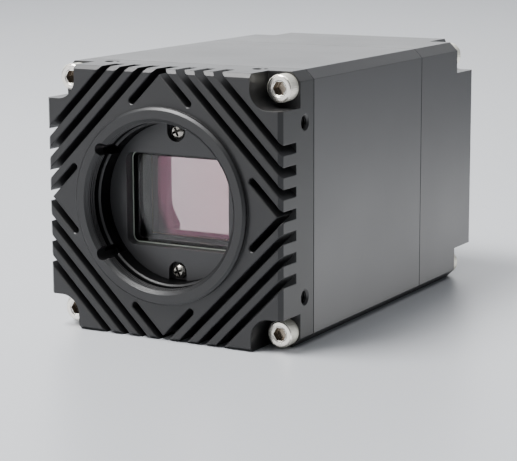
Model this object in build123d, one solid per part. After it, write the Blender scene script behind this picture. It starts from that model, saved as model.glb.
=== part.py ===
from build123d import *
import os
from math import cos, radians, sin, sqrt

# A square industrial camera with an open lens mount and no lens fitted.
# Millimetres. The lens looks along -Y, +Z is up and +X is to the right seen from the front.
# The origin is the centre of the lens flange, so every depth is measured back from that face.

# Body
body_side = 55.0
front_length = 13.3
middle_length = 51.0
rear_length = 29.0
long_chamfer = 1.9
face_chamfer = 0.8
side_wall = 3.0
rear_wall = 4.0

# Flat seals between the three housings, set back so that each joint shows as a dark line
seal_thickness = 0.3
seal_setback = 0.6
register_length = 1.5
register_wall = 1.6
register_gap = 0.15

# Corner pockets and the long screws in them
pocket_side = 7.0
pocket_radius = 4.0
front_pocket_depth = 7.7
rear_pocket_depth = 9.4
pocket_wall = 2.0
screw_inset = 3.1
boss_radius = 3.2
cap_shank_radius = 1.5
cap_head_radius = 2.75
cap_head_height = 3.0
cap_head_round = 0.3
cap_hex_width = 2.5
cap_hex_depth = 1.5
cap_ring_radius = 1.6
cap_ring_depth = 0.12
front_screw_length = 12.0
rear_screw_length = 26.0
shank_clearance = 0.1
thread_clearance = 0.05
hole_overrun = 1.5

# Cooling slots, cut as square rings turned 45 degrees
slot_width = 1.45
slot_pitch = 3.05
slot_depth = 6.0
slot_edge = 0.18
long_slots = 3
stub_reach = 6.55

# Lens mount
flange_rise = 1.3
ring_radius = 20.0
ring_chamfer = 0.5
mouth_radius = 17.8
thread_radius = 17.1
thread_end = 2.9
groove_radius = 17.9
groove_end = 3.8
lip_chamfer = 0.3
bore_radius = 16.4
notch_radius = 1.35
notch_centre = 17.2
notch_angle = 38.5

# Tapped holes in the four sides of the front housing
side_hole_radius = 1.25
side_hole_mouth = 1.65
side_hole_depth = 5.0
side_hole_spacing = 35.0
side_hole_back = 9.6

# Filter frame, filter glass and their screws
frame_front = 7.35
frame_gap = 0.1
window_width = 24.3
window_height = 19.2
window_radius = 1.6
ledge_width = 0.9
ledge_height = 0.5
ledge_chamfer = 0.2
glass_sink = 2.3
glass_gap = 0.1
glass_thickness = 1.1
glass_bevel = 0.3
bead_thickness = 0.1
frame_screw_offset = 14.4
frame_recess_radius = 2.1
frame_recess_depth = 1.3
pan_head_radius = 1.65
pan_head_height = 1.3
pan_shank_radius = 1.0
pan_screw_length = 4.6
cross_length = 1.9
cross_width = 0.48
cross_depth = 0.55
cross_turn = 22
aperture_gap = 0.3

# Image sensor
lid_reach = 0.85
lid_width = 26.0
lid_height = 20.2
lid_thickness = 1.0
package_width = 31.0
package_height = 23.0
package_thickness = 4.4
package_cavity_depth = 3.0
die_width = 23.6
die_height = 17.9
die_thickness = 0.8

# Circuit boards on four posts
board_gap = 3.5
board_thickness = 1.6
board_corner = 1.5
post_inset = 2.5
post_flats = 4.5
post_stud_radius = 1.25
post_stud_length = 9.0
post_tap_depth = 4.5
spacer_radius = 2.2
sensor_gap = 6.0
processor_gap = 19.6
jack_length = 17.6
board_head_radius = 2.2
board_head_height = 1.5
board_hex_width = 1.5
board_hex_depth = 0.8
board_screw_length = 6.0

# Heat path
sensor_pad_width = 22.0
sensor_pad_height = 14.0
sensor_pad_thickness = 1.0
spreader_thickness = 3.0
spreader_gap = 0.2
spreader_post_gap = 1.15
processor_side = 19.0
processor_thickness = 1.6
processor_pad_side = 17.0

# Connectors and parts on the boards
link_width = 22.0
link_height = 4.6
link_inset = 4.0
link_clearance = 0.8
link_key = 0.8
memory_side = 8.0
memory_height = 10.0
memory_thickness = 1.0
memory_inset = 8.5
header_pin_count = 8
header_spacing = 2.54
header_bar_side = 0.64
header_body_depth = 2.5
header_inset = 2.4
choke_side = 8.0
choke_height = 4.5
choke_offset = 8.0
can_radius = 3.15
can_height = 7.7
can_offset = 9.0
transformer_width = 16.0
transformer_height = 10.0
transformer_depth = 5.5
transformer_rise = 8.0
network_chip_side = 7.0
network_chip_depth = 1.0
riser_width = 26.0
riser_thickness = 1.6
riser_inset = 8.0
riser_socket_depth = 4.0
riser_socket_height = 4.8
riser_socket_end = 1.5
riser_seat = 1.2
riser_gap = 0.15

# Network jack
jack_x = -9.6
jack_width = 16.0
jack_height = 13.4
jack_skin = 0.3
jack_gap = 0.25
plug_width = 11.9
plug_height = 6.9
plug_depth = 13.0
latch_width = 6.2
latch_height = 1.6
catch_width = 3.6
catch_height = 1.2
plug_centre_z = 0.4
contact_count = 8
contact_pitch = 1.02
contact_width = 0.45
contact_thickness = 0.3
contact_slope = 2.2
jack_lamp_width = 2.6
jack_lamp_height = 1.5
jack_lamp_depth = 4.0
lock_hole_radius = 0.8
lock_hole_spacing = 21.6

# Round power and signal socket
socket_x = 10.8
socket_collar_radius = 5.6
socket_collar_length = 6.0
socket_bore_radius = 4.45
socket_bore_depth = 9.5
socket_body_radius = 4.9
socket_nut_radius = 6.6
socket_nut_depth = 2.2
socket_body_gap = 0.1
socket_collar_chamfer = 0.25
pin_radius = 0.35
pin_length = 4.5
outer_pins = 9
outer_pin_circle = 2.9
inner_pins = 3
inner_pin_circle = 1.1
key_width = 1.0
key_height = 0.5

# Status lamp
lamp_x = 10.8
lamp_inset = 7.5
lamp_radius = 1.5
lamp_head_radius = 1.9
lamp_head_thickness = 0.4
lamp_gap = 0.1
led_side = 2.4
led_depth = 1.2

# Depths that follow from the sizes above
half = body_side / 2
inner_side = body_side - 2 * side_wall
face_y = flange_rise
front_back_y = face_y + front_length - seal_thickness / 2
middle_front_y = front_back_y + seal_thickness
middle_back_y = face_y + front_length + middle_length - seal_thickness / 2
rear_front_y = middle_back_y + seal_thickness
rear_face_y = face_y + front_length + middle_length + rear_length
rear_room_side = inner_side - 2 * (register_gap + register_wall)
front_floor_y = face_y + front_pocket_depth
rear_floor_y = rear_face_y - rear_pocket_depth
screw_at = half - screw_inset
board_side = inner_side - 2 * board_gap
post_at = board_side / 2 - post_inset
diamond = half / sqrt(2)
glass_front_y = frame_front + glass_sink
ledge_y = glass_front_y + glass_thickness + bead_thickness
frame_back_y = ledge_y + ledge_height
lid_front = front_back_y - lid_reach
package_front_y = lid_front + lid_thickness
package_back_y = package_front_y + package_thickness
sensor_board_back_y = package_back_y + board_thickness
processor_board_y = sensor_board_back_y + sensor_gap
processor_board_back_y = processor_board_y + board_thickness
power_board_y = processor_board_back_y + processor_gap
power_board_back_y = power_board_y + board_thickness
interface_back_y = rear_face_y - jack_length
interface_front = interface_back_y - board_thickness
spreader_front_y = sensor_board_back_y + sensor_pad_thickness
spreader_back_y = spreader_front_y + spreader_thickness
chip_front_y = processor_board_y - processor_thickness
link_drop = board_side / 2 - link_inset
header_rise = board_side / 2 - header_inset
riser_drop = board_side / 2 - riser_inset
memory_offset = post_at - memory_inset
lamp_z = board_side / 2 - lamp_inset


def at_depth(y):
    # A drawing plane whose own axes are X and Z, facing the front
    return Plane(origin=(0, y, 0), x_dir=(1, 0, 0), z_dir=(0, -1, 0))


def prism(outline, y_front, y_back):
    # An outline in X and Z carried back from one depth to another
    return extrude(at_depth(y_back) * outline, amount=y_back - y_front)


def rod(x, z, y_front, y_back, radius):
    return prism(Pos(x, z) * Circle(radius), y_front, y_back)


def box(x, z, width, height, y_front, y_back):
    return prism(Pos(x, z) * Rectangle(width, height), y_front, y_back)


def turned(points):
    # A closed profile of (radius, depth) points turned about the lens axis
    profile = make_face(Polyline(*points, close=True))
    return revolve(profile, axis=Axis.Y)


def hexagon(flats):
    return RegularPolygon(flats / 2, 6, major_radius=False)


def corners(distance):
    return [(x, z) for x in (-distance, distance) for z in (-distance, distance)]


def joined(pieces):
    return Compound(children=list(pieces))


def body_outline(side=body_side, flat=long_chamfer):
    square = Rectangle(side, side)
    return chamfer(square.vertices(), flat)


def room_outline(gap=0.0):
    # The inside of the housings, with a round boss left in each corner for the long screws
    room = Rectangle(inner_side - 2 * gap, inner_side - 2 * gap)
    for x, z in corners(screw_at):
        room -= Pos(x, z) * Circle(boss_radius + gap)
    return room


def pocket_outline():
    # An open square notch at one corner with a rounded inner corner, then copied to all four
    reach = pocket_side + long_chamfer
    centre = half - pocket_side + reach / 2
    notch = Pos(centre, centre) * Rectangle(reach, reach)
    inner = min(notch.vertices(), key=lambda v: v.X + v.Y)
    notch = fillet(inner, pocket_radius)
    return [Rot(0, 0, 90 * turn) * notch for turn in range(4)]


def register_lip(y_front, y_back):
    # A low wall that drops inside the middle housing and centres it
    outline = room_outline(register_gap) - room_outline(register_gap + register_wall)
    return prism(outline, y_front, y_back)


def slot_outlines():
    # Rings beyond the first run right across each corner
    outlines = []
    for ring in range(1, long_slots + 1):
        reach = diamond + ring * slot_pitch
        outer = Rectangle(2 * reach + slot_width, 2 * reach + slot_width)
        inner = Rectangle(2 * reach - slot_width, 2 * reach - slot_width)
        outlines.append(Rot(0, 0, 45) * (outer - inner))
    return outlines


def stub_outlines():
    # The first ring is broken by the lens mount: two round-ended stubs meet at each side's middle
    length = stub_reach * sqrt(2) + slot_width
    stub = Pos(length / 2, 0) * Rectangle(length, slot_width) + Circle(slot_width / 2)
    right = Pos(stub_reach, half - stub_reach) * Rot(0, 0, 135) * stub
    left = Pos(-stub_reach, half - stub_reach) * Rot(0, 0, 45) * stub
    pair = right + left
    return [Rot(0, 0, 90 * turn) * pair for turn in range(4)]


def finned_block():
    block = prism(body_outline(), face_y, front_back_y)
    block = chamfer(block.faces().sort_by(Axis.Y)[0].edges(), face_chamfer)
    for outline in slot_outlines() + stub_outlines():
        block -= prism(outline, face_y - 1, face_y + slot_depth)
    rims = [e for e in block.faces().filter_by(Plane.XZ).group_by(Axis.Y)[0].edges() if is_slot_rim(e)]
    block = chamfer(rims, slot_edge)
    for notch in pocket_outline():
        block -= prism(notch, face_y - 1, front_floor_y)
    return block


def is_slot_rim(edge):
    # Edges of the front face that belong to a slot, not to the outside of the block
    centre = edge.center()
    limit = half - face_chamfer - slot_edge / 2
    return max(abs(centre.X), abs(centre.Z)) < limit


def side_holes():
    # Two tapped holes in each side, with a small countersink
    centre_y = face_y + side_hole_back
    drill = Cylinder(side_hole_radius, 2 * side_hole_depth)
    sink = Cone(side_hole_radius, side_hole_mouth + 0.4, side_hole_mouth + 0.4 - side_hole_radius)
    sink = Pos(0, 0, 0.4 - (side_hole_mouth + 0.4 - side_hole_radius) / 2) * sink
    tool = drill + sink
    tools = []
    for turn in range(4):
        for side in (-1, 1):
            place = Rot(0, 90 * turn, 0) * Pos(side * side_hole_spacing / 2, centre_y, half)
            tools.append(place * tool)
    return tools


def mount_ring():
    return turned([(0, 0), (ring_radius - ring_chamfer, 0), (ring_radius, ring_chamfer),
                   (ring_radius, face_y + 1), (0, face_y + 1)])


def mount_bore():
    # Lead-in chamfer, thread length, relief groove, lip and the plain bore down to the frame's seat
    lead = mouth_radius - thread_radius
    return turned([(0, -1), (mouth_radius + 1, -1), (mouth_radius, 0), (thread_radius, lead),
                   (thread_radius, thread_end), (groove_radius, thread_end),
                   (groove_radius, groove_end), (bore_radius + lip_chamfer, groove_end),
                   (bore_radius, groove_end + lip_chamfer), (bore_radius, frame_back_y),
                   (0, frame_back_y)])


def mount_notches():
    tools = []
    for side in (-1, 1):
        angle = radians(notch_angle)
        x = -notch_centre * cos(angle)
        z = side * notch_centre * sin(angle)
        tools.append(rod(x, z, -1, frame_front, notch_radius))
    return tools


def front_housing():
    housing = finned_block() + mount_ring()
    housing -= mount_bore()
    for tool in mount_notches() + side_holes():
        housing -= tool
    width = lid_width + 2 * aperture_gap
    height = lid_height + 2 * aperture_gap
    housing -= box(0, 0, width, height, frame_back_y, front_back_y + 1)
    housing += register_lip(front_back_y, front_back_y + register_length)
    for x, z in corners(screw_at):
        housing -= rod(x, z, face_y, front_back_y + 1, cap_shank_radius + shank_clearance)
    for x, z in corners(post_at):
        stud_tip = sensor_board_back_y - post_stud_length
        hole_radius = post_stud_radius + thread_clearance
        housing -= rod(x, z, stud_tip - hole_overrun, front_back_y + 1, hole_radius)
    for z in (-frame_screw_offset, frame_screw_offset):
        tip = frame_front + frame_recess_depth + pan_screw_length
        housing -= rod(0, z, frame_back_y - 1, tip + hole_overrun / 2, pan_shank_radius + thread_clearance)
    return housing


def middle_housing():
    housing = prism(body_outline() - room_outline(), middle_front_y, middle_back_y)
    front_tip = front_floor_y + front_screw_length
    rear_tip = rear_floor_y - rear_screw_length
    for x, z in corners(screw_at):
        radius = cap_shank_radius + thread_clearance
        housing -= rod(x, z, middle_front_y - 1, front_tip + hole_overrun, radius)
        housing -= rod(x, z, rear_tip - hole_overrun, middle_back_y + 1, radius)
    return housing


def rear_room():
    # Thicker walls than the middle housing, so that the centring lip grows out of them.
    # The corners close in further back and leave a wall round each pocket.
    wide = prism(room_outline(register_gap + register_wall), rear_front_y - 1, rear_floor_y - pocket_wall)
    cross = Rectangle(rear_room_side, rear_room_side)
    corner = pocket_side + pocket_wall
    for x, z in corners(half - corner / 2):
        cross -= Pos(x, z) * Rectangle(corner, corner)
    narrow = prism(cross, rear_front_y, rear_face_y - rear_wall)
    return wide + narrow


def jack_opening():
    return box(jack_x, 0, jack_width + 2 * jack_gap, jack_height + 2 * jack_gap,
               rear_face_y - rear_wall - 1, rear_face_y + 1)


def rear_housing():
    housing = prism(body_outline(), rear_front_y, rear_face_y)
    housing = chamfer(housing.faces().sort_by(Axis.Y)[-1].edges(), face_chamfer)
    for notch in pocket_outline():
        housing -= prism(notch, rear_floor_y, rear_face_y + 1)
    housing -= rear_room()
    housing -= jack_opening()
    within = rear_face_y - rear_wall - 1
    beyond = rear_face_y + 1
    housing -= rod(socket_x, 0, within, beyond, socket_body_radius + socket_body_gap)
    housing -= rod(lamp_x, lamp_z, within, beyond, lamp_radius + lamp_gap)
    for side in (-1, 1):
        x = jack_x + side * lock_hole_spacing / 2
        housing -= rod(x, 0, within, beyond, lock_hole_radius)
    for x, z in corners(screw_at):
        housing -= rod(x, z, rear_front_y - 1, rear_floor_y + 1, cap_shank_radius + shank_clearance)
    return housing + register_lip(rear_front_y - register_length, rear_front_y)


def housing_seal(y_front):
    outline = body_outline(body_side - 2 * seal_setback) - room_outline()
    for x, z in corners(screw_at):
        outline -= Pos(x, z) * Circle(cap_shank_radius + shank_clearance)
    return prism(outline, y_front, y_front + seal_thickness)


def cap_screw(length):
    # A socket head screw with its head's top at depth 0 and its tip further back
    head = turned([(0, 0), (cap_head_radius - cap_head_round, 0), (cap_head_radius, cap_head_round),
                   (cap_head_radius, cap_head_height), (0, cap_head_height)])
    shank = rod(0, 0, cap_head_height, cap_head_height + length, cap_shank_radius)
    head -= rod(0, 0, -1, cap_ring_depth, cap_ring_radius)
    head -= prism(hexagon(cap_hex_width), -1, cap_hex_depth)
    return head + shank


def front_cap_screws():
    screw = cap_screw(front_screw_length)
    y = front_floor_y - cap_head_height
    return joined(Pos(x, y, z) * screw for x, z in corners(screw_at))


def rear_cap_screws():
    screw = Rot(0, 0, 180) * cap_screw(rear_screw_length)
    y = rear_floor_y + cap_head_height
    return joined(Pos(x, y, z) * screw for x, z in corners(screw_at))


def window_outline(inset):
    radius = max(window_radius - inset, 0.1)
    return RectangleRounded(window_width - 2 * inset, window_height - 2 * inset, radius)


def filter_frame():
    # A round plate with a stepped window; the screws sit in recesses open to its rim
    radius = bore_radius - frame_gap
    frame = rod(0, 0, frame_front, frame_back_y, radius)
    frame -= prism(window_outline(0), frame_front - 1, ledge_y)
    frame -= prism(window_outline(ledge_width), frame_front - 1, frame_back_y + 1)
    ledge = frame.faces().filter_by(Plane.XZ).group_by(Axis.Y)[1][0]
    frame = chamfer(ledge.inner_wires()[0].edges(), ledge_chamfer)
    floor_y = frame_front + frame_recess_depth
    for z in (-frame_screw_offset, frame_screw_offset):
        outward = radius if z > 0 else -radius
        centre_z = (z + outward) / 2
        length = abs(outward - z)
        frame -= rod(0, z, frame_front - 1, floor_y, frame_recess_radius)
        frame -= box(0, centre_z, 2 * frame_recess_radius, length, frame_front - 1, floor_y)
        frame -= rod(0, z, frame_front, frame_back_y + 1, pan_shank_radius + shank_clearance)
    return frame


def filter_glass():
    glass = prism(window_outline(glass_gap), glass_front_y, ledge_y - bead_thickness)
    return chamfer(glass.faces().sort_by(Axis.Y)[0].edges(), glass_bevel)


def filter_bead():
    # The thin bead of sealant that holds the glass on its ledge
    ring = window_outline(glass_gap) - window_outline(ledge_width)
    return prism(ring, ledge_y - bead_thickness, ledge_y)


def pan_screw():
    # A domed cross-recess screw, its seat at depth 0 and its tip further back
    dome = turned([(0, -pan_head_height), (pan_head_radius * 0.6, -pan_head_height * 0.93),
                   (pan_head_radius * 0.9, -pan_head_height * 0.6), (pan_head_radius, 0), (0, 0)])
    cross = Rectangle(cross_length, cross_width) + Rectangle(cross_width, cross_length)
    dome -= prism(Rot(0, 0, cross_turn) * cross, -pan_head_height - 1, cross_depth - pan_head_height)
    return dome + rod(0, 0, 0, pan_screw_length, pan_shank_radius)


def filter_frame_screws():
    screw = pan_screw()
    y = frame_front + frame_recess_depth
    return joined(Pos(0, y, z) * screw for z in (-frame_screw_offset, frame_screw_offset))


def sensor_package():
    package = box(0, 0, package_width, package_height, package_front_y, package_back_y)
    cavity_width = die_width + 1.0
    cavity_height = die_height + 1.0
    floor_y = package_front_y + package_cavity_depth
    return package - box(0, 0, cavity_width, cavity_height, package_front_y - 1, floor_y)


def sensor_die():
    back_y = package_front_y + package_cavity_depth
    return box(0, 0, die_width, die_height, back_y - die_thickness, back_y)


def sensor_lid():
    lid = box(0, 0, lid_width, lid_height, lid_front, package_front_y)
    return chamfer(lid.faces().sort_by(Axis.Y)[0].edges(), lid_thickness / 4)


def board(y_front):
    outline = RectangleRounded(board_side, board_side, board_corner)
    for x, z in corners(post_at):
        outline -= Pos(x, z) * Circle(post_stud_radius + shank_clearance)
    return prism(outline, y_front, y_front + board_thickness)


def post(y_front, y_back, stud_length):
    # A hexagonal pillar with a stud at its front and a tapped hole in its back
    pillar = prism(hexagon(post_flats), y_front, y_back)
    pillar += rod(0, 0, y_front - stud_length, y_front, post_stud_radius)
    return pillar - rod(0, 0, y_back - post_tap_depth, y_back + 1, post_stud_radius + thread_clearance)


def posts(y_front, y_back, stud_length):
    pillar = post(y_front, y_back, stud_length)
    return joined(Pos(x, 0, z) * pillar for x, z in corners(post_at))


def short_stud():
    return board_thickness + post_tap_depth - 1.0


def sensor_spacers():
    ring = Circle(spacer_radius) - Circle(post_stud_radius + shank_clearance)
    spacer = prism(ring, front_back_y, package_back_y)
    return joined(Pos(x, 0, z) * spacer for x, z in corners(post_at))


def board_screws():
    # Low round heads with a hexagon socket, behind the last board
    head_y = interface_back_y + board_head_height
    screw = rod(0, 0, interface_back_y, head_y, board_head_radius)
    screw -= prism(hexagon(board_hex_width), head_y - board_hex_depth, head_y + 1)
    screw += rod(0, 0, interface_back_y - board_screw_length, interface_back_y, post_stud_radius)
    return joined(Pos(x, 0, z) * screw for x, z in corners(post_at))


def sensor_pad():
    return box(0, 0, sensor_pad_width, sensor_pad_height, sensor_board_back_y, spreader_front_y)


def heat_spreader():
    # Fills the section of the middle housing, open round the posts and the board link
    outline = room_outline(spreader_gap)
    for x, z in corners(post_at):
        outline -= Pos(x, z) * Circle(post_flats / 2 + spreader_post_gap)
    opening = Rectangle(link_width + 2 * link_clearance, link_height + 2 * link_clearance)
    outline -= Pos(0, -link_drop) * opening
    return prism(outline, spreader_front_y, spreader_back_y)


def processor_pad():
    return box(0, 0, processor_pad_side, processor_pad_side, spreader_back_y, chip_front_y)


def processor_chip():
    # A ball-grid package: a thin carrier with a smaller moulded cap
    carrier_y = processor_board_y - processor_thickness / 3
    carrier = box(0, 0, processor_side, processor_side, carrier_y, processor_board_y)
    cap = box(0, 0, processor_side - 1.5, processor_side - 1.5, chip_front_y, carrier_y)
    return carrier + cap


def link_half(y_front, y_back, key_side):
    # One half of the plug-in link between two boards, with a keyed corner
    outline = Rectangle(link_width, link_height)
    key = max(outline.vertices(), key=lambda v: key_side * v.X + v.Y)
    return Pos(0, 0, -link_drop) * prism(chamfer(key, link_key), y_front, y_back)


def memory_chips():
    y = processor_board_back_y
    chips = []
    for x, z in corners(memory_offset):
        chips.append(box(x, z, memory_side, memory_height, y, y + memory_thickness))
    return joined(chips)


def header_pins_row():
    first = -(header_pin_count - 1) / 2 * header_spacing
    pins = []
    for index in range(header_pin_count):
        x = first + index * header_spacing
        pin = Pos(x, header_rise) * Rectangle(header_bar_side, header_bar_side)
        pins.append(prism(pin, processor_board_back_y, power_board_y))
    return joined(pins)


def header_body(y_front, y_back):
    # A moulded strip that the pins pass through
    body = Rectangle(header_pin_count * header_spacing, header_spacing)
    first = -(header_pin_count - 1) / 2 * header_spacing
    for index in range(header_pin_count):
        body -= Pos(first + index * header_spacing, 0) * Rectangle(header_bar_side, header_bar_side)
    return Pos(0, 0, header_rise) * prism(body, y_front, y_back)


def header_bodies():
    lower = header_body(processor_board_back_y, processor_board_back_y + header_body_depth)
    upper = header_body(power_board_y - header_body_depth, power_board_y)
    return joined([lower, upper])


def chokes():
    # Shielded power inductors with their corners cut off
    pieces = []
    for x in (-choke_offset, choke_offset):
        outline = chamfer(Rectangle(choke_side, choke_side).vertices(), choke_side / 5)
        pieces.append(prism(Pos(x, 0) * outline, power_board_back_y, power_board_back_y + choke_height))
    return joined(pieces)


def capacitor_cans():
    pieces = []
    for x in (-can_offset, can_offset):
        pieces.append(rod(x, can_offset, power_board_back_y, power_board_back_y + can_height, can_radius))
    return joined(pieces)


def network_transformer():
    y = interface_front
    block = box(0, transformer_rise, transformer_width, transformer_height, y - transformer_depth, y)
    return chamfer(block.faces().sort_by(Axis.Y)[0].edges(), transformer_depth / 10)


def network_chip():
    # Midway between the transformer and the riser's socket
    transformer_low = transformer_rise - transformer_height / 2
    socket_high = riser_socket_height / 2 - riser_drop
    z = (transformer_low + socket_high) / 2
    front_y = interface_front - network_chip_depth
    return box(0, z, network_chip_side, network_chip_side, front_y, interface_front)


def riser_board():
    y_front = power_board_back_y + riser_socket_depth - riser_seat
    y_back = interface_front - riser_socket_depth + riser_seat
    return box(0, -riser_drop, riser_width, riser_thickness, y_front, y_back)


def riser_socket(y_front, y_back):
    return box(0, -riser_drop, riser_width + 2 * riser_socket_end, riser_socket_height, y_front, y_back)


def riser_sockets():
    # Slotted edge sockets on both boards; each slot is as deep as the riser board is seated
    slot_width_x = riser_width + 2 * riser_gap
    slot_height = riser_thickness + 2 * riser_gap
    front_y = power_board_back_y + riser_socket_depth
    back_y = interface_front - riser_socket_depth
    front = riser_socket(power_board_back_y, front_y)
    front -= box(0, -riser_drop, slot_width_x, slot_height, front_y - riser_seat, front_y + 1)
    back = riser_socket(back_y, interface_front)
    back -= box(0, -riser_drop, slot_width_x, slot_height, back_y - 1, back_y + riser_seat)
    return joined([front, back])


def jack_shell():
    # Folded tin-plate sleeve, open at the plug end and at the board
    outer = Rectangle(jack_width, jack_height)
    inner = Rectangle(jack_width - 2 * jack_skin, jack_height - 2 * jack_skin)
    return Pos(jack_x, 0, 0) * prism(outer - inner, interface_back_y, rear_face_y)


def plug_outline():
    # The plug's own section with the two steps for its latch underneath
    top = Rectangle(plug_width, plug_height)
    step = Pos(0, -(plug_height + latch_height) / 2) * Rectangle(latch_width, latch_height)
    catch_z = -plug_height / 2 - latch_height - catch_height / 2
    catch = Pos(0, catch_z) * Rectangle(catch_width, catch_height)
    return Pos(0, plug_centre_z + (latch_height + catch_height) / 2) * (top + step + catch)


def jack_lamp_place(side):
    x = side * (jack_width / 2 - jack_skin - jack_lamp_width / 2)
    z = -(jack_height / 2 - jack_skin - jack_lamp_height / 2)
    return x, z


def jack_insert():
    width = jack_width - 2 * jack_skin
    height = jack_height - 2 * jack_skin
    insert = box(0, 0, width, height, interface_back_y, rear_face_y)
    insert -= prism(plug_outline(), rear_face_y - plug_depth, rear_face_y + 1)
    for side in (-1, 1):
        x, z = jack_lamp_place(side)
        insert -= box(x, z, jack_lamp_width, jack_lamp_height, rear_face_y - jack_lamp_depth, rear_face_y + 1)
    return Pos(jack_x, 0, 0) * insert


def jack_lamps():
    lamps = []
    front_y = rear_face_y - jack_lamp_depth
    for side in (-1, 1):
        x, z = jack_lamp_place(side)
        lamps.append(box(jack_x + x, z, jack_lamp_width, jack_lamp_height, front_y, rear_face_y))
    return joined(lamps)


def jack_contacts():
    # Spring wires that slope down from the roof of the plug's space towards its back
    roof = plug_centre_z + (latch_height + catch_height) / 2 + plug_height / 2
    y_back = rear_face_y - plug_depth
    length = plug_depth * 0.7
    tip_y = y_back + length
    side_view = Polyline((y_back, roof - contact_slope), (tip_y, roof - contact_thickness),
                         (tip_y, roof), (y_back, roof - contact_slope + contact_thickness), close=True)
    wire = extrude(Plane.YZ * make_face(side_view), amount=contact_width / 2, both=True)
    first = jack_x - (contact_count - 1) / 2 * contact_pitch
    return joined(Pos(first + index * contact_pitch, 0, 0) * wire for index in range(contact_count))


def socket_shell():
    # A turned collar outside the wall, a neck through it and a keyed bore
    mouth_y = rear_face_y + socket_collar_length
    floor_y = mouth_y - socket_bore_depth
    back_y = rear_face_y - rear_wall - socket_nut_depth - 1.0
    shell = turned([(0, rear_face_y), (socket_collar_radius, rear_face_y),
                    (socket_collar_radius, mouth_y - socket_collar_chamfer),
                    (socket_collar_radius - socket_collar_chamfer, mouth_y), (0, mouth_y)])
    shell += rod(0, 0, back_y, rear_face_y, socket_body_radius)
    shell -= rod(0, 0, floor_y, mouth_y + 1, socket_bore_radius)
    shell -= rod(0, 0, back_y - 1, floor_y + 1, socket_bore_radius - socket_body_gap * 4)
    key = box(0, socket_bore_radius - key_height / 2, key_width, key_height + 0.4, floor_y, mouth_y - 1.0)
    return Pos(socket_x, 0, 0) * (shell + key)


def socket_floor_y():
    return rear_face_y + socket_collar_length - socket_bore_depth


def socket_nut():
    # A ring nut with two flats that clamps the socket from inside the rear wall
    ring = Circle(socket_nut_radius) - Circle(socket_body_radius + thread_clearance)
    flats = Rectangle(2 * socket_nut_radius, 1.8 * socket_nut_radius)
    back_y = rear_face_y - rear_wall
    return Pos(socket_x, 0, 0) * prism(ring & flats, back_y - socket_nut_depth, back_y)


def pin_places():
    places = []
    for count, circle in ((outer_pins, outer_pin_circle), (inner_pins, inner_pin_circle)):
        for index in range(count):
            angle = radians(90 + 360 * (index + 0.5) / count)
            places.append((circle * cos(angle), circle * sin(angle)))
    return places


def pin_outline():
    # Thin pins, with eight flats to keep them light
    return RegularPolygon(pin_radius, 8)


def socket_insert():
    radius = socket_bore_radius - socket_body_gap * 5
    disc = Circle(radius)
    for x, z in pin_places():
        disc -= Pos(x, z) * pin_outline()
    return Pos(socket_x, 0, 0) * prism(disc, interface_back_y, socket_floor_y())


def socket_pins():
    tip_y = socket_floor_y() + pin_length
    pins = []
    for x, z in pin_places():
        pins.append(prism(Pos(socket_x + x, z) * pin_outline(), interface_back_y, tip_y))
    return joined(pins)


def status_led():
    return box(lamp_x, lamp_z, led_side, led_side, interface_back_y, interface_back_y + led_depth)


def light_pipe():
    pipe = rod(lamp_x, lamp_z, interface_back_y + led_depth, rear_face_y, lamp_radius)
    return pipe + rod(lamp_x, lamp_z, rear_face_y, rear_face_y + lamp_head_thickness, lamp_head_radius)


def pieces():
    link_middle = (sensor_board_back_y + processor_board_y) / 2
    return {
        "front_housing": front_housing(),
        "middle_housing": middle_housing(),
        "rear_housing": rear_housing(),
        "front_seal": housing_seal(front_back_y),
        "rear_seal": housing_seal(middle_back_y),
        "front_cap_screws": front_cap_screws(),
        "rear_cap_screws": rear_cap_screws(),
        "filter_frame": filter_frame(),
        "filter_frame_screws": filter_frame_screws(),
        "filter_glass": filter_glass(),
        "filter_bead": filter_bead(),
        "sensor_lid": sensor_lid(),
        "sensor_die": sensor_die(),
        "sensor_package": sensor_package(),
        "sensor_board": board(package_back_y),
        "sensor_spacers": sensor_spacers(),
        "sensor_thermal_pad": sensor_pad(),
        "heat_spreader": heat_spreader(),
        "processor_thermal_pad": processor_pad(),
        "processor_chip": processor_chip(),
        "processor_board": board(processor_board_y),
        "memory_chips": memory_chips(),
        "link_plug": link_half(sensor_board_back_y, link_middle, 1),
        "link_socket": link_half(link_middle, processor_board_y, 1),
        "front_posts": posts(sensor_board_back_y, processor_board_y, post_stud_length),
        "middle_posts": posts(processor_board_back_y, power_board_y, short_stud()),
        "rear_posts": posts(power_board_back_y, interface_front, short_stud()),
        "power_board": board(power_board_y),
        "header_pins": header_pins_row(),
        "header_bodies": header_bodies(),
        "power_chokes": chokes(),
        "capacitor_cans": capacitor_cans(),
        "riser_board": riser_board(),
        "riser_sockets": riser_sockets(),
        "interface_board": board(interface_front),
        "interface_board_screws": board_screws(),
        "network_transformer": network_transformer(),
        "network_chip": network_chip(),
        "network_jack_shell": jack_shell(),
        "network_jack_insert": jack_insert(),
        "network_jack_contacts": jack_contacts(),
        "network_jack_lamps": jack_lamps(),
        "io_socket_shell": socket_shell(),
        "io_socket_insert": socket_insert(),
        "io_socket_pins": socket_pins(),
        "io_socket_nut": socket_nut(),
        "status_led": status_led(),
        "status_light_pipe": light_pipe(),
    }


os.makedirs("parts", exist_ok=True)
for name, shape in pieces().items():
    export_step(shape, f"parts/{name}.step")
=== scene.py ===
from math import cos, pi, radians, sin

import bpy
from mathutils import Matrix, Vector


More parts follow.
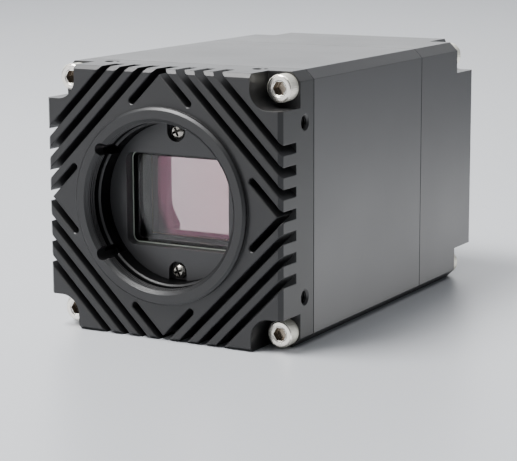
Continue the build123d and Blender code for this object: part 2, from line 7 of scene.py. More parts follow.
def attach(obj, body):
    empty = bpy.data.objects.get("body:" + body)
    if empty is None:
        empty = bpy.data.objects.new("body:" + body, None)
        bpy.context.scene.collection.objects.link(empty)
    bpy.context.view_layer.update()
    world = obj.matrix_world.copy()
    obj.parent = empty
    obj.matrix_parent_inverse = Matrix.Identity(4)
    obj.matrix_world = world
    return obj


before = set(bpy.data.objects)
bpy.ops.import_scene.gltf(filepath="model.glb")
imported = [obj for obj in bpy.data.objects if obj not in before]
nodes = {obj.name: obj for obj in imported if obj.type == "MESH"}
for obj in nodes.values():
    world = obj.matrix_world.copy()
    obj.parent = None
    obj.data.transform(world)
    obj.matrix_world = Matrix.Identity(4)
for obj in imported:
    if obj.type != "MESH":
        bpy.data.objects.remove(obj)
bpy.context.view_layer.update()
mm = 0.001
print("frame loaded,", len(nodes), "nodes")

# sizes of the camera body that several finishes and pieces share
cameraBody = {
    "halfWidth": 27.5 * mm,
    "holeSpacing": 35.0 * mm,
    "holeBehindFlange": 10.9 * mm,
}


# small helpers for node trees
def startMaterial(name):
    material = bpy.data.materials.new(name)
    material.use_nodes = True
    tree = material.node_tree
    shader = tree.nodes["Principled BSDF"]
    return material, tree, shader


def setSockets(node, values):
    for socket, value in values.items():
        node.inputs[socket].default_value = value


def linkSockets(tree, node, sources):
    for socket, source in sources.items():
        tree.links.new(source, node.inputs[socket])


def objectCoordinates(tree):
    return tree.nodes.new("ShaderNodeTexCoord").outputs["Object"]


def calculate(tree, operation, first, second=None):
    # one Math node; each input is a number or another node's output
    node = tree.nodes.new("ShaderNodeMath")
    node.operation = operation
    for index, value in enumerate((first, second)):
        if value is None:
            continue
        if isinstance(value, (int, float)):
            node.inputs[index].default_value = value
        else:
            tree.links.new(value, node.inputs[index])
    return node.outputs[0]


def times(tree, first, second):
    return calculate(tree, "MULTIPLY", first, second)


def plus(tree, first, second):
    return calculate(tree, "ADD", first, second)


def minus(tree, first, second):
    return calculate(tree, "SUBTRACT", first, second)


def average(tree, first, second):
    return plus(tree, times(tree, first, 0.5), times(tree, second, 0.5))


def below(tree, value, limit):
    # 1 under the limit, else 0
    return calculate(tree, "LESS_THAN", value, limit)


def above(tree, value, limit):
    # 1 over the limit, else 0
    return calculate(tree, "GREATER_THAN", value, limit)


def between(tree, value, low, high):
    return times(tree, above(tree, value, low), below(tree, value, high))


def lengthOf(tree, first, second):
    return calculate(tree, "SQRT", plus(tree, times(tree, first, first), times(tree, second, second)))


def pastPlanes(tree, value, offset):
    # how far a place lies outside the two planes at -offset and +offset
    return minus(tree, calculate(tree, "ABSOLUTE", value), offset)


def ripple(tree, value, pitch):
    # a sine wave with one crest per pitch
    return calculate(tree, "SINE", times(tree, value, 2 * pi / pitch))


def splitAxes(tree, vector):
    node = tree.nodes.new("ShaderNodeSeparateXYZ")
    linkSockets(tree, node, {"Vector": vector})
    return node.outputs


def noise(tree, vector, scale, detail, roughness=0.55):
    node = tree.nodes.new("ShaderNodeTexNoise")
    setSockets(node, {"Scale": scale, "Detail": detail, "Roughness": roughness})
    linkSockets(tree, node, {"Vector": vector})
    return node.outputs["Fac"]


def remap(tree, value, low, high, fromLow=0.0, fromHigh=1.0):
    node = tree.nodes.new("ShaderNodeMapRange")
    setSockets(node, {"From Min": fromLow, "From Max": fromHigh, "To Min": low, "To Max": high})
    linkSockets(tree, node, {"Value": value})
    return node.outputs["Result"]


def blendColours(tree, factor, first, second):
    # sockets 0, 6 and 7 of a Mix node are the factor and the two colours
    node = tree.nodes.new("ShaderNodeMix")
    node.data_type = "RGBA"
    tree.links.new(factor, node.inputs[0])
    for index, value in ((6, first), (7, second)):
        if isinstance(value, tuple):
            node.inputs[index].default_value = (*value, 1.0)
        else:
            tree.links.new(value, node.inputs[index])
    return node.outputs[2]


def scaledColour(colour, share, added=0.0):
    return tuple(share * part + added for part in colour)


def bumpFrom(tree, height, strength, depth, under=None):
    node = tree.nodes.new("ShaderNodeBump")
    setSockets(node, {"Strength": strength, "Distance": depth})
    linkSockets(tree, node, {"Height": height})
    if under is not None:
        linkSockets(tree, node, {"Normal": under})
    return node.outputs["Normal"]


def softEdges(tree, radius, samples=6):
    node = tree.nodes.new("ShaderNodeBevel")
    node.samples = samples
    setSockets(node, {"Radius": radius})
    return node.outputs["Normal"]


# finishes
anodised = {
    "colours": ((0.0165, 0.0165, 0.018), (0.026, 0.026, 0.0275)),
    "ior": 1.86,
    "roughness": (0.36, 0.46),
    "noiseReach": (0.3, 0.7),  # where nearly all of the noise lies
    "cloudScale": 45,
    "cloudDetail": 4.0,
    "blastScale": 5200,
    "blastDetail": 2.0,
    "blastStrength": 0.35,
    "blastDepth": 0.012 * mm,
    "markStrength": 0.7,
    "markDepth": 0.02 * mm,
    "edge": 0.14 * mm,
}


def anodisedBlack(name, colours=anodised["colours"], roughness=anodised["roughness"], edge=anodised["edge"],
                  ior=anodised["ior"], marks=None, paintedShadeMask=None):
    # blasted and dyed aluminium: a fine even grain, a slow change of shade and softened edges
    material, tree, shader = startMaterial(name)
    place = objectCoordinates(tree)
    cloud = noise(tree, place, anodised["cloudScale"], anodised["cloudDetail"])
    grain = noise(tree, place, anodised["blastScale"], anodised["blastDetail"])
    colour = blendColours(tree, cloud, *colours)
    polish = remap(tree, average(tree, cloud, grain), *roughness, *anodised["noiseReach"])
    if paintedShadeMask:
        # painted shade: as near-black metal, a hollow loses the pale reflection of dyed aluminium
        inside = paintedShadeMask(tree, place)
        colour = blendColours(tree, inside, colour, hollowPaintedShade["shade"])
        polish = plus(tree, polish, times(tree, inside, hollowPaintedShade["addedRoughness"]))
        linkSockets(tree, shader, {"Metallic": inside})
    edges = softEdges(tree, edge)
    surface = bumpFrom(tree, grain, anodised["blastStrength"], anodised["blastDepth"], edges)
    if marks:
        cut = marks(tree, place)
        surface = bumpFrom(tree, cut, anodised["markStrength"], anodised["markDepth"], surface)
    linkSockets(tree, shader, {"Base Color": colour, "Roughness": polish, "Normal": surface})
    setSockets(shader, {"IOR": ior})
    return material


# painted shade for the front housing's groove, bore and fixing holes: a near-black metal colour and a
# little more roughness
hollowPaintedShade = {
    "shade": (0.012, 0.012, 0.013),
    "addedRoughness": 0.12,
    "boreRadius": 18.3 * mm,
    "boreReach": (2.88 * mm, 11.34 * mm),
    "lipRadius": 16.8 * mm,
    "lipReach": (3.7 * mm, 4.16 * mm),
    "holeRadius": 1.36 * mm,
    "holeMouth": 26.95 * mm,
}


def frontPaintedShadeMask(tree, place):
    # 1 in the groove, in the plain bore behind the lens thread and in the eight fixing holes, where shade
    # is painted
    axes = splitAxes(tree, place)
    radius = lengthOf(tree, axes["X"], axes["Z"])
    bore = times(tree, below(tree, radius, hollowPaintedShade["boreRadius"]),
                 between(tree, axes["Y"], *hollowPaintedShade["boreReach"]))
    lip = times(tree, below(tree, radius, hollowPaintedShade["lipRadius"]),
                between(tree, axes["Y"], *hollowPaintedShade["lipReach"]))
    alongX = calculate(tree, "ABSOLUTE", axes["X"])
    alongZ = calculate(tree, "ABSOLUTE", axes["Z"])
    outward = calculate(tree, "MAXIMUM", alongX, alongZ)
    across = minus(tree, calculate(tree, "MINIMUM", alongX, alongZ), cameraBody["holeSpacing"] / 2)
    back = minus(tree, axes["Y"], cameraBody["holeBehindFlange"])
    near = below(tree, lengthOf(tree, across, back), hollowPaintedShade["holeRadius"])
    hole = times(tree, near, below(tree, outward, hollowPaintedShade["holeMouth"]))
    return calculate(tree, "MAXIMUM", minus(tree, bore, lip), hole)


leadIn = {
    "radius": 17.85 * mm,
    "pitch": 0.24 * mm,
}


def leadInMarks(tree, place):
    # the lens thread runs out as fine rings on the mount's lead-in
    axes = splitAxes(tree, place)
    radius = lengthOf(tree, axes["X"], axes["Z"])
    return times(tree, ripple(tree, radius, leadIn["pitch"]), below(tree, radius, leadIn["radius"]))


capScrew = {
    "offset": 24.4 * mm,
    "frontHeadTop": 6.0 * mm,
    "rearHeadTop": 88.2 * mm,
    "bright": (1.0, 0.97, 0.9),
    "dull": (0.93, 0.88, 0.79),
    "roughness": (0.13, 0.24),
    "stainScale": 900,
    "stainDetail": 4.0,
    "edge": 0.3 * mm,
    "ringPitch": 0.11 * mm,
    "ringStrength": 0.12,
    "ringDepth": 0.004 * mm,
    "socketRadius": 1.5 * mm,
    "socketLip": 0.16 * mm,
    "paintedSocketShade": (0.3, 0.255, 0.205),
    "rimRadius": 2.62 * mm,
    "rimColour": (0.95, 0.93, 0.82),
    "rimRoughness": 0.46,
    "rimMetal": 0.55,
    "knurls": 42,
    "knurlStrength": 0.5,
    "knurlDepth": 0.03 * mm,
}


def turnedSteel(name):
    # turning marks on the head's face, a knurled rim and a socket darkened by painted shade, on each of the
    # corner screws
    material, tree, shader = startMaterial(name)
    place = objectCoordinates(tree)
    axes = splitAxes(tree, place)
    acrossX = pastPlanes(tree, axes["X"], capScrew["offset"])
    acrossZ = pastPlanes(tree, axes["Z"], capScrew["offset"])
    distance = lengthOf(tree, acrossX, acrossZ)
    stain = noise(tree, place, capScrew["stainScale"], capScrew["stainDetail"])
    betweenHeads = between(tree, axes["Y"], capScrew["frontHeadTop"] + capScrew["socketLip"],
                           capScrew["rearHeadTop"] - capScrew["socketLip"])
    paintedSocketMask = times(tree, below(tree, distance, capScrew["socketRadius"]), betweenHeads)
    onRim = above(tree, distance, capScrew["rimRadius"])
    metal = blendColours(tree, stain, capScrew["dull"], capScrew["bright"])
    # painted shade in the hex socket
    metal = blendColours(tree, paintedSocketMask, metal, capScrew["paintedSocketShade"])
    facePolish = times(tree, remap(tree, onRim, 1.0, 0.0), remap(tree, stain, *capScrew["roughness"]))
    rimPolish = times(tree, onRim, capScrew["rimRoughness"])
    rings = ripple(tree, distance, capScrew["ringPitch"])
    turned = bumpFrom(tree, rings, capScrew["ringStrength"], capScrew["ringDepth"],
                      softEdges(tree, capScrew["edge"]))
    turn = calculate(tree, "ARCTAN2", acrossZ, acrossX)
    knurl = times(tree, calculate(tree, "SINE", times(tree, turn, capScrew["knurls"])), onRim)
    linkSockets(tree, shader, {
        "Base Color": blendColours(tree, onRim, metal, capScrew["rimColour"]),
        "Roughness": plus(tree, facePolish, rimPolish),
        "Metallic": remap(tree, onRim, 1.0, capScrew["rimMetal"]),
        "Normal": bumpFrom(tree, knurl, capScrew["knurlStrength"], capScrew["knurlDepth"], turned),
    })
    return material


metalFinish = {
    "mottleScale": 700,
    "mottleDetail": 4.0,
    "darkShare": 0.78,
    "pitStrength": 0.2,
    "pitDepth": 0.004 * mm,
    "edge": 0.08 * mm,
}


def plainMetal(name, colour, roughness, scale=metalFinish["mottleScale"]):
    material, tree, shader = startMaterial(name)
    mottle = noise(tree, objectCoordinates(tree), scale, metalFinish["mottleDetail"])
    linkSockets(tree, shader, {
        "Base Color": blendColours(tree, mottle, scaledColour(colour, metalFinish["darkShare"]), colour),
        "Roughness": remap(tree, mottle, *roughness),
        "Normal": bumpFrom(tree, mottle, metalFinish["pitStrength"], metalFinish["pitDepth"],
                           softEdges(tree, metalFinish["edge"])),
    })
    setSockets(shader, {"Metallic": 1.0})
    return material


crossScrew = {
    "offset": 14.4 * mm,
    "colour": (0.44, 0.42, 0.38),
    "darkShare": 0.8,
    "paintedRecessShade": (0.02, 0.019, 0.017),
    "recessRadius": 1.05 * mm,
    "recessDepth": 7.5 * mm,
    "mottleScale": 900,
    "roughness": (0.2, 0.32),
    "edge": 0.06 * mm,
}


def crossScrewSteel(name):
    # zinc plating, with painted shade in the cross recess
    material, tree, shader = startMaterial(name)
    place = objectCoordinates(tree)
    axes = splitAxes(tree, place)
    distance = lengthOf(tree, axes["X"], pastPlanes(tree, axes["Z"], crossScrew["offset"]))
    # painted shade fills the cross recess
    paintedRecessMask = times(tree, below(tree, distance, crossScrew["recessRadius"]),
                     above(tree, axes["Y"], crossScrew["recessDepth"]))
    mottle = noise(tree, place, crossScrew["mottleScale"], metalFinish["mottleDetail"])
    darker = scaledColour(crossScrew["colour"], crossScrew["darkShare"])
    metal = blendColours(tree, mottle, darker, crossScrew["colour"])
    linkSockets(tree, shader, {
        "Base Color": blendColours(tree, paintedRecessMask, metal, crossScrew["paintedRecessShade"]),
        "Roughness": remap(tree, mottle, *crossScrew["roughness"]),
        "Normal": bumpFrom(tree, mottle, metalFinish["pitStrength"], metalFinish["pitDepth"],
                           softEdges(tree, crossScrew["edge"])),
    })
    setSockets(shader, {"Metallic": 1.0})
    return material


moulding = {
    "pitScale": 2600,
    "pitDetail": 2.0,
    "pitStrength": 0.3,
    "pitDepth": 0.01 * mm,
    "shadeScale": 80,
    "shadeDetail": 3.0,
    "lightShare": 1.25,
    "lightAdded": 0.002,
    "edge": 0.1 * mm,
}


def mouldedPlastic(name, colour, roughness, edge=moulding["edge"]):
    # spark-eroded mould texture: fine pits and a slow change of shade
    material, tree, shader = startMaterial(name)
    place = objectCoordinates(tree)
    pits = noise(tree, place, moulding["pitScale"], moulding["pitDetail"])
    shade = noise(tree, place, moulding["shadeScale"], moulding["shadeDetail"])
    lighter = scaledColour(colour, moulding["lightShare"], moulding["lightAdded"])
    edges = softEdges(tree, edge)
    linkSockets(tree, shader, {
        "Base Color": blendColours(tree, shade, colour, lighter),
        "Roughness": remap(tree, pits, *roughness),
        "Normal": bumpFrom(tree, pits, moulding["pitStrength"], moulding["pitDepth"], edges),
    })
    return material


glassLook = {
    "roughness": (0.0, 0.0),
    "ior": 1.52,
    "coat": (1.0, 1.0, 1.0),
    "shine": 0.5,
    "hazeScale": 260,
    "hazeDetail": 3.0,
    "darkShare": 0.97,
}


def clearGlass(name, tint, ior=glassLook["ior"], coat=glassLook["coat"], shine=glassLook["shine"]):
    material, tree, shader = startMaterial(name)
    haze = noise(tree, objectCoordinates(tree), glassLook["hazeScale"], glassLook["hazeDetail"])
    linkSockets(tree, shader, {
        "Base Color": blendColours(tree, haze, scaledColour(tint, glassLook["darkShare"]), tint),
        "Roughness": remap(tree, haze, *glassLook["roughness"]),
    })
    setSockets(shader, {"Transmission Weight": 1.0, "IOR": ior, "Specular IOR Level": shine,
                        "Specular Tint": (*coat, 1.0)})
    return material


sensorLook = {
    "activeWidth": 22.3 * mm,
    "activeHeight": 16.7 * mm,
    "pixels": (0.44, 0.305, 0.315),
    "pixelsLessReflection": (0.39, 0.32, 0.34),
    "blendHalfWidth": 11 * mm,
    "border": (0.05, 0.055, 0.05),
    "pad": (0.8, 0.62, 0.3),
    "padPitch": 0.42 * mm,
    "padBand": 0.22 * mm,
    "padInset": 0.32 * mm,
    "padGap": 0.1,  # height of the wave at which a pad starts
    "roughness": (0.035, 0.2),
}


def siliconDie(name):
    # the pixel field is pink to mauve, with a painted reflection that makes it brighter and pinker towards
    # +X; round it lie a dark border and a row of bond pads
    material, tree, shader = startMaterial(name)
    axes = splitAxes(tree, objectCoordinates(tree))
    outside = calculate(tree, "MAXIMUM", pastPlanes(tree, axes["X"], sensorLook["activeWidth"] / 2),
                        pastPlanes(tree, axes["Z"], sensorLook["activeHeight"] / 2))
    isBorder = above(tree, outside, 0.0)
    # painted reflection: the field turns from mauve at -X to a brighter pink at +X
    paintedReflectionSlope = remap(tree, axes["X"], 0.0, 1.0, -sensorLook["blendHalfWidth"], sensorLook["blendHalfWidth"])
    field = blendColours(tree, paintedReflectionSlope, sensorLook["pixelsLessReflection"], sensorLook["pixels"])
    fromBandMiddle = calculate(tree, "ABSOLUTE", minus(tree, outside, sensorLook["padInset"]))
    inBand = below(tree, fromBandMiddle, sensorLook["padBand"] / 2)
    waves = calculate(tree, "MAXIMUM", ripple(tree, axes["X"], sensorLook["padPitch"]),
                      ripple(tree, axes["Z"], sensorLook["padPitch"]))
    isPad = times(tree, inBand, above(tree, waves, sensorLook["padGap"]))
    edge = blendColours(tree, isPad, sensorLook["border"], sensorLook["pad"])
    linkSockets(tree, shader, {
        "Base Color": blendColours(tree, isBorder, field, edge),
        "Roughness": remap(tree, isBorder, *sensorLook["roughness"]),
    })
    setSockets(shader, {"Metallic": 1.0})
    return material


boardLook = {
    "mask": (0.012, 0.06, 0.03),
    "overCopper": (0.02, 0.11, 0.05),
    "roughness": (0.25, 0.38),
    "weaveScale": 1500,
    "weaveDetail": 2.0,
    "copperStrength": 0.4,
    "copperHeight": 0.02 * mm,
    "tracePitch": 1.1 * mm,
    "tracesPerCell": 4,
    "rowShift": 0.5,
    "rows": {"Mortar Size": 0.05, "Bias": 0.0, "Brick Width": 0.9, "Row Height": 0.25},
}


def circuitBoard(name):
    # solder mask, a shade lighter where copper runs under it
    material, tree, shader = startMaterial(name)
    place = objectCoordinates(tree)
    upright = tree.nodes.new("ShaderNodeMapping")
    setSockets(upright, {"Rotation": (pi / 2, 0, 0)})
    linkSockets(tree, upright, {"Vector": place})
    cells = tree.nodes.new("ShaderNodeTexBrick")
    cells.offset = boardLook["rowShift"]
    setSockets(cells, boardLook["rows"])
    setSockets(cells, {"Scale": 1 / (boardLook["tracesPerCell"] * boardLook["tracePitch"])})
    linkSockets(tree, cells, {"Vector": upright.outputs["Vector"]})
    copper = cells.outputs["Fac"]
    weave = noise(tree, place, boardLook["weaveScale"], boardLook["weaveDetail"])
    linkSockets(tree, shader, {
        "Base Color": blendColours(tree, copper, boardLook["mask"], boardLook["overCopper"]),
        "Roughness": remap(tree, weave, *boardLook["roughness"]),
        "Normal": bumpFrom(tree, copper, boardLook["copperStrength"], boardLook["copperHeight"]),
    })
    return material


frontDye = ((0.009, 0.009, 0.0095), (0.014, 0.014, 0.0148))
# painted shade: the lens thread in the bore's mouth and the thread rings in the fixing holes get colours
# darker than the housing's; the crests' smoother polish is wear
threadShadeColours = ((0.004, 0.004, 0.0045), (0.007, 0.007, 0.0075))
crestShadeColours = ((0.004, 0.004, 0.0045), (0.008, 0.008, 0.008))
threadEdge = 0.03 * mm

blackHousing = anodisedBlack("blackAnodisedHousing")
# the front housing has painted shade in its groove, bore and fixing holes
blackFront = anodisedBlack("blackAnodisedFront", colours=frontDye, ior=1.55, marks=leadInMarks,
                           paintedShadeMask=frontPaintedShadeMask)
blackFrame = anodisedBlack("blackAnodisedFilterFrame", roughness=(0.36, 0.44), edge=0.08 * mm, ior=1.6)
wornAndShadedCrests = anodisedBlack("wornAndShadedThreadCrests", colours=crestShadeColours, roughness=(0.24, 0.34), edge=threadEdge,
                           ior=1.42)
shadedLensThread = anodisedBlack("shadedAnodisedThread", colours=threadShadeColours, roughness=(0.3, 0.38),
                            edge=threadEdge, ior=1.5)
screwSteel = turnedSteel("turnedScrewSteel")
crossSteel = crossScrewSteel("crossScrewSteel")

# each of these has a name, a colour and the range of its roughness
platedSteel = plainMetal("platedScrewSteel", (0.62, 0.59, 0.54), (0.2, 0.32))
brassTurned = plainMetal("turnedBrass", (0.72, 0.55, 0.27), (0.22, 0.38))
goldFlash = plainMetal("goldFlash", (0.9, 0.68, 0.3), (0.15, 0.28))
tinPlate = plainMetal("foldedTinPlate", (0.62, 0.62, 0.61), (0.24, 0.4))
satinNickel = plainMetal("satinNickel", (0.6, 0.57, 0.53), (0.2, 0.32))
milledPlate = plainMetal("milledPlate", (0.72, 0.72, 0.73), (0.28, 0.42), scale=240)
drawnCan = plainMetal("drawnCan", (0.75, 0.75, 0.74), (0.3, 0.42))
sealRubber = mouldedPlastic("blackSealRubber", (0.008, 0.008, 0.008), (0.65, 0.8))
glassSealant = mouldedPlastic("curedSealant", (0.015, 0.017, 0.016), (0.3, 0.4))
padRubber = mouldedPlastic("thermalPadRubber", (0.3, 0.36, 0.42), (0.7, 0.85))
ceramicBody = mouldedPlastic("sinteredCeramic", (0.06, 0.055, 0.055), (0.55, 0.7))
blackMoulding = mouldedPlastic("blackMoulding", (0.014, 0.014, 0.015), (0.4, 0.52))
ferriteBody = mouldedPlastic("ferriteBody", (0.05, 0.05, 0.052), (0.5, 0.65))
ledBody = mouldedPlastic("ledBody", (0.72, 0.66, 0.42), (0.35, 0.45))
frostedGlass = mouldedPlastic("frostedGlassRim", (0.43, 0.47, 0.41), (0.45, 0.6), edge=0.02 * mm)
lampMilky = mouldedPlastic("milkyLampMoulding", (0.46, 0.54, 0.45), (0.16, 0.26), edge=0.05 * mm)

# the panes have a name and a tint
filterPane = clearGlass("coatedFilterGlass", (0.97, 0.98, 0.97), ior=1.36)
coverPane = clearGlass("sensorCoverGlass", (0.98, 0.97, 0.98), coat=(1.0, 0.2, 0.47), shine=1.25)

imagerSilicon = siliconDie("imagerSilicon")
greenBoard = circuitBoard("solderMaskBoard")

finishOf = {
    "front_housing": blackFront, "middle_housing": blackHousing, "rear_housing": blackHousing,
    "front_seal": sealRubber, "rear_seal": sealRubber,
    "front_cap_screws": screwSteel, "rear_cap_screws": screwSteel,
    "filter_frame": blackFrame, "filter_frame_screws": crossSteel,
    "filter_glass": filterPane, "filter_bead": glassSealant,
    "sensor_lid": coverPane, "sensor_die": imagerSilicon, "sensor_package": ceramicBody,
    "sensor_board": greenBoard, "sensor_spacers": brassTurned, "sensor_thermal_pad": padRubber,
    "heat_spreader": milledPlate, "processor_thermal_pad": padRubber, "processor_chip": blackMoulding,
    "processor_board": greenBoard, "memory_chips": blackMoulding, "link_plug": blackMoulding,
    "link_socket": blackMoulding, "front_posts": brassTurned, "middle_posts": brassTurned,
    "rear_posts": brassTurned, "power_board": greenBoard, "header_pins": goldFlash,
    "header_bodies": blackMoulding, "power_chokes": ferriteBody, "capacitor_cans": drawnCan,
    "riser_board": greenBoard, "riser_sockets": blackMoulding, "interface_board": greenBoard,
    "interface_board_screws": platedSteel, "network_transformer": blackMoulding,
    "network_chip": blackMoulding, "network_jack_shell": tinPlate, "network_jack_insert": blackMoulding,
    "network_jack_contacts": goldFlash, "network_jack_lamps": lampMilky,
    "io_socket_shell": satinNickel, "io_socket_insert": blackMoulding, "io_socket_pins": goldFlash,
    "io_socket_nut": brassTurned, "status_led": ledBody, "status_light_pipe": lampMilky,
}


def dressNode(name, material):
    node = nodes[name]
    if not node.material_slots:
        node.data.materials.append(material)
    for holder in node.material_slots:
        holder.material = material


for nodeName in nodes:
    dressNode(nodeName, finishOf[nodeName])
print("finishes are on", len(finishOf), "nodes")


# helpers for pieces that this script models
def clearSelection():
    if bpy.context.object and bpy.context.object.mode != "OBJECT":
        bpy.ops.object.mode_set(mode="OBJECT")
    bpy.ops.object.select_all(action="DESELECT")


def makeActive(piece):
    clearSelection()
    piece.select_set(True)
    bpy.context.view_layer.objects.active = piece


def applyPlace(piece):
    makeActive(piece)
    bpy.ops.object.transform_apply(location=True, rotation=True, scale=True)


mergeDistance = 0.001 * mm


def outwardFaces(piece):
    makeActive(piece)
    bpy.ops.object.mode_set(mode="EDIT")
    bpy.ops.mesh.select_all(action="SELECT")
    bpy.ops.mesh.remove_doubles(threshold=mergeDistance)
    bpy.ops.mesh.normals_make_consistent(inside=False)
    bpy.ops.object.mode_set(mode="OBJECT")


def joinPieces(pieces):
    makeActive(pieces[0])
    for piece in pieces[1:]:
        piece.select_set(True)
    bpy.ops.object.join()
    return bpy.context.object


def finishPiece(piece, name, material):
    piece.name = name
    piece.data.name = name
    piece.data.materials.clear()
    piece.data.materials.append(material)
    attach(piece, "root")


# the fine thread inside the lens ring, as ridges side by side without a helix
lensThread = {
    "frontDepth": 0.66 * mm,
    "turns": 3,
    "pitch": 0.75 * mm,
    "rootRadius": 17.12 * mm,
    "crestRadius": 16.9 * mm,
    "ridgeWidth": 0.86,  # share of the pitch, at the ridge's foot
    "halfFoot": 0.5,  # share of the ridge's width
    "halfCrest": 0.12,
    "notchAngle": 38.5,  # degrees above and below the ring's left side
    "notchHalfWidth": 5.2,  # degrees
    "planeCorners": (0, 1, 3, 2),  # a new plane's corners, in turn round its edge
    "stepsPerTurn": 220,
    "fewestSteps": 12,
    "smoothAngle": 30,
}


def threadRidge(startAngle, sweep, depth):
    # a plane is squeezed to a ridge's section at the start angle, then spun round the lens axis;
    # the ridge's foot is sunk into the ring as far as its crest stands out
    height = lensThread["rootRadius"] - lensThread["crestRadius"]
    foot = lensThread["rootRadius"] + height
    crest = lensThread["crestRadius"]
    halfFoot = lensThread["halfFoot"]
    halfCrest = lensThread["halfCrest"]
    section = [(foot, -halfFoot), (foot, halfFoot), (crest, halfCrest), (crest, -halfCrest)]
    clearSelection()
    bpy.ops.mesh.primitive_plane_add(size=1, location=(0, 0, 0))
    ridge = bpy.context.object
    for corner, (radius, along) in zip(lensThread["planeCorners"], section):
        y = depth + along * lensThread["pitch"] * lensThread["ridgeWidth"]
        ridge.data.vertices[corner].co = (radius * cos(startAngle), y, radius * sin(startAngle))
    makeActive(ridge)
    bpy.ops.object.mode_set(mode="EDIT")
    bpy.ops.mesh.select_all(action="SELECT")
    steps = max(lensThread["fewestSteps"], int(lensThread["stepsPerTurn"] * sweep / (2 * pi)))
    bpy.ops.mesh.spin(steps=steps, angle=sweep, center=(0, 0, 0), axis=(0, 1, 0), dupli=False)
    bpy.ops.object.mode_set(mode="OBJECT")
    return ridge


def makeLensThread():
    # each turn has two stretches, because the ring's two notches cut it
    gap = radians(lensThread["notchHalfWidth"])
    notch = radians(lensThread["notchAngle"])
    shortSweep = 2 * (notch - gap)
    longSweep = 2 * pi - 2 * notch - 2 * gap
    ridges = []
    for turn in range(lensThread["turns"]):
        depth = lensThread["frontDepth"] + (turn + 0.5) * lensThread["pitch"]
        ridges.append(threadRidge(pi - notch + gap, shortSweep, depth))
        ridges.append(threadRidge(pi + notch + gap, longSweep, depth))
    thread = joinPieces(ridges)
    outwardFaces(thread)
    bpy.ops.object.shade_smooth_by_angle(angle=radians(lensThread["smoothAngle"]))
    finishPiece(thread, "lens_thread", shadedLensThread)


makeLensThread()
print("lens thread cut")


# threads in the eight fixing holes
holeThread = {
    "countersink": 0.45 * mm,
    "pitch": 0.5 * mm,
    "firstCrest": 0.6,  # pitches under the countersink
    "turns": 6,
    "rootRadius": 1.27 * mm,
    "ridgeRadius": 0.1 * mm,
    "ringSteps": 28,
    "ridgeSteps": 6,
    "smoothAngle": 40,
}


def makeHoleThread():
    # ridges round +Z, from just under the countersink down
    rings = []
    for turn in range(holeThread["turns"]):
        clearSelection()
        sunk = (turn + holeThread["firstCrest"]) * holeThread["pitch"]
        z = cameraBody["halfWidth"] - holeThread["countersink"] - sunk
        bpy.ops.mesh.primitive_torus_add(
            location=(0, 0, z),
            major_radius=holeThread["rootRadius"],
            minor_radius=holeThread["ridgeRadius"],
            major_segments=holeThread["ringSteps"],
            minor_segments=holeThread["ridgeSteps"],
        )
        rings.append(bpy.context.object)
    thread = joinPieces(rings)
    applyPlace(thread)
    bpy.ops.object.shade_smooth_by_angle(angle=radians(holeThread["smoothAngle"]))
    return thread


def copyPiece(piece, placing):
    copy = piece.copy()
    copy.data = piece.data.copy()
    bpy.context.scene.collection.objects.link(copy)
    copy.data.transform(placing)
    return copy


holePattern = makeHoleThread()
sideNames = ["top", "right", "bottom", "left"]
for quarter, sideName in enumerate(sideNames):
    for end, word in ((-1, "a"), (1, "b")):
        shift = Matrix.Translation((end * cameraBody["holeSpacing"] / 2, cameraBody["holeBehindFlange"], 0))
        placed = copyPiece(holePattern, Matrix.Rotation(quarter * pi / 2, 4, "Y") @ shift)
        finishPiece(placed, f"{sideName}_hole_thread_{word}", wornAndShadedCrests)
bpy.data.objects.remove(holePattern)
print("hole threads cut")


# the frosted rim of the filter glass
glassRim = {
    "width": 24.2 * mm,
    "height": 19.1 * mm,
    "cornerRadius": 1.55 * mm,
    "cornerSteps": 8,
    "roundProfile": 0.5,
    "band": 0.26 * mm,
    "rise": 0.05 * mm,
    "depth": 9.6 * mm,
    "thickness": 0.016 * mm,
}


def makeGlassRim():
    # a rounded outline is inset to a narrow band, then its inner edge is pushed forward a little
    clearSelection()
    bpy.ops.mesh.primitive_plane_add(size=1, location=(0, glassRim["depth"], 0), rotation=(pi / 2, 0, 0))
    band = bpy.context.object
    band.scale = (glassRim["width"], glassRim["height"], 1)
    applyPlace(band)
    bpy.ops.object.mode_set(mode="EDIT")
    bpy.ops.mesh.select_all(action="SELECT")
    bpy.ops.mesh.bevel(offset=glassRim["cornerRadius"], segments=glassRim["cornerSteps"],
                       affect="VERTICES", profile=glassRim["roundProfile"])
    bpy.ops.mesh.select_all(action="SELECT")
    bpy.ops.mesh.inset(thickness=glassRim["band"], depth=0)
    bpy.ops.transform.translate(value=(0, -glassRim["rise"], 0))
    bpy.ops.mesh.delete(type="FACE")
    bpy.ops.object.mode_set(mode="OBJECT")
    skin = band.modifiers.new("skin", "SOLIDIFY")
    skin.thickness = glassRim["thickness"]
    skin.offset = 0
    makeActive(band)
    bpy.ops.object.modifier_apply(modifier=skin.name)
    outwardFaces(band)
    finishPiece(band, "filter_glass_rim", frostedGlass)


makeGlassRim()
print("glass rim frosted")


# floor
floorLook = {
    "size": 9.0,
    "level": -cameraBody["halfWidth"],
    "paint": ((0.56, 0.575, 0.6), (0.6, 0.615, 0.64)),
    "roughness": 0.38,
    "shine": 0.35,
    "mottleScale": 3.0,
    "mottleDetail": 2.0,
}


def palePaint(name):
    material, tree, shader = startMaterial(name)
    mottle = noise(tree, objectCoordinates(tree), floorLook["mottleScale"], floorLook["mottleDetail"])
    linkSockets(tree, shader, {"Base Color": blendColours(tree, mottle, *floorLook["paint"])})
    setSockets(shader, {"Roughness": floorLook["roughness"], "Specular IOR Level": floorLook["shine"]})
    return material


def makeFloor():
    # a wide flat sheet under the camera body
    clearSelection()
    bpy.ops.mesh.primitive_plane_add(size=floorLook["size"], location=(0, 0, floorLook["level"]))
    sheet = bpy.context.object
    applyPlace(sheet)
    sheet.name = "paleFloor"
    sheet.data.materials.append(palePaint("paleFloorPaint"))


makeFloor()


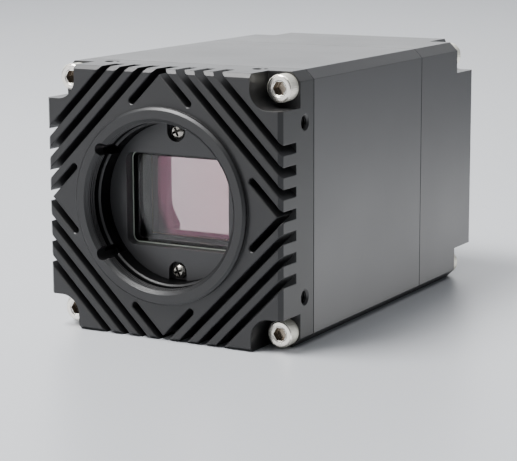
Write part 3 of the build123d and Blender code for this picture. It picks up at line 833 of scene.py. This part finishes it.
# studio
studio = {
    "worldColour": (0.80, 0.83, 0.88),
    "skyAim": (-0.755, 0.624, 0.201),
    "skyEdge": 0.45,  # cosine of the angle from skyAim at which the sky starts to brighten
    "skyStrength": (0.26, 1.3),
    "boxes": [
        # name, place, aimed at, width, height, watts, colour
        ("overheadBox", (-0.05, -0.27, 0.85), (0, 0.03, 0), 1.1, 0.6, 3.5, (1.0, 1.0, 1.0)),
        ("narrowBox", (-0.29, -0.26, 0.84), (0, 0.0, 0), 0.46, 0.38, 15.5, (1.0, 1.0, 1.0)),
        ("backdropCard", (-0.55, 1.1, 0.32), (0.0, 0.05, 0.0), 1.3, 0.5, 3.3, (1.0, 1.0, 1.0)),
        ("lowCard", (0.084, 0.135, -0.0268), (0.084, 0.135, 1.0), 0.11, 0.27, 0.09, (1.0, 1.0, 1.0)),
        ("leftFrontBox", (-0.7, -0.9, 0.35), (0, 0.0, 0.0), 0.6, 0.5, 3.2, (1.0, 0.98, 0.98)),
    ],
}


def makeStudio():
    world = bpy.data.worlds.new("paleStudio")
    bpy.context.scene.world = world
    world.use_nodes = True
    sky = world.node_tree
    background = sky.nodes["Background"]
    background.inputs["Color"].default_value = (*studio["worldColour"], 1.0)
    towards = sky.nodes.new("ShaderNodeVectorMath")
    towards.operation = "DOT_PRODUCT"
    towards.inputs[1].default_value = studio["skyAim"]
    sky.links.new(sky.nodes.new("ShaderNodeTexCoord").outputs["Generated"], towards.inputs[0])
    sky.links.new(remap(sky, towards.outputs["Value"], *studio["skyStrength"], studio["skyEdge"], 1.0),
                  background.inputs["Strength"])
    for name, place, aim, width, height, watts, colour in studio["boxes"]:
        lamp = bpy.data.lights.new(name, "AREA")
        lamp.shape = "RECTANGLE"
        lamp.size = width
        lamp.size_y = height
        lamp.energy = watts
        lamp.color = colour
        holder = bpy.data.objects.new(name, lamp)
        bpy.context.scene.collection.objects.link(holder)
        holder.location = place
        holder.rotation_euler = (Vector(aim) - Vector(place)).to_track_quat("-Z", "Y").to_euler()
        holder.visible_camera = False


makeStudio()
print("studio lit")


# the viewpoint, solved from the corners, seams and circles of the camera body
viewpoint = {
    "azimuth": 29.534,
    "elevation": 10.664,
    "roll": -0.242,
    "distance": 387.61 * mm,
    "target": (5.404 * mm, 31.3 * mm, -9.333 * mm),
    "focalPixels": 1816.9,
    "imageWidth": 517,
    "sensorWidth": 36,  # millimetres, as a camera's setting has it
    "nearest": 0.01,
    "farthest": 50,
}


def makeCamera():
    turn = radians(viewpoint["azimuth"])
    rise = radians(viewpoint["elevation"])
    roll = radians(viewpoint["roll"])
    back = Vector((sin(turn) * cos(rise), -cos(turn) * cos(rise), sin(rise)))
    right = (-back).cross(Vector((0, 0, 1))).normalized()
    up = right.cross(-back)
    tiltedRight = right * cos(roll) + up * sin(roll)
    tiltedUp = -right * sin(roll) + up * cos(roll)
    data = bpy.data.cameras.new("viewCamera")
    data.sensor_width = viewpoint["sensorWidth"]
    data.lens = viewpoint["focalPixels"] * data.sensor_width / viewpoint["imageWidth"]
    data.clip_start = viewpoint["nearest"]
    data.clip_end = viewpoint["farthest"]
    camera = bpy.data.objects.new("viewCamera", data)
    bpy.context.scene.collection.objects.link(camera)
    facing = Matrix((tiltedRight, tiltedUp, back)).transposed().to_4x4()
    eye = Vector(viewpoint["target"]) + back * viewpoint["distance"]
    camera.matrix_world = Matrix.Translation(eye) @ facing
    bpy.context.scene.camera = camera


makeCamera()
print("camera placed")
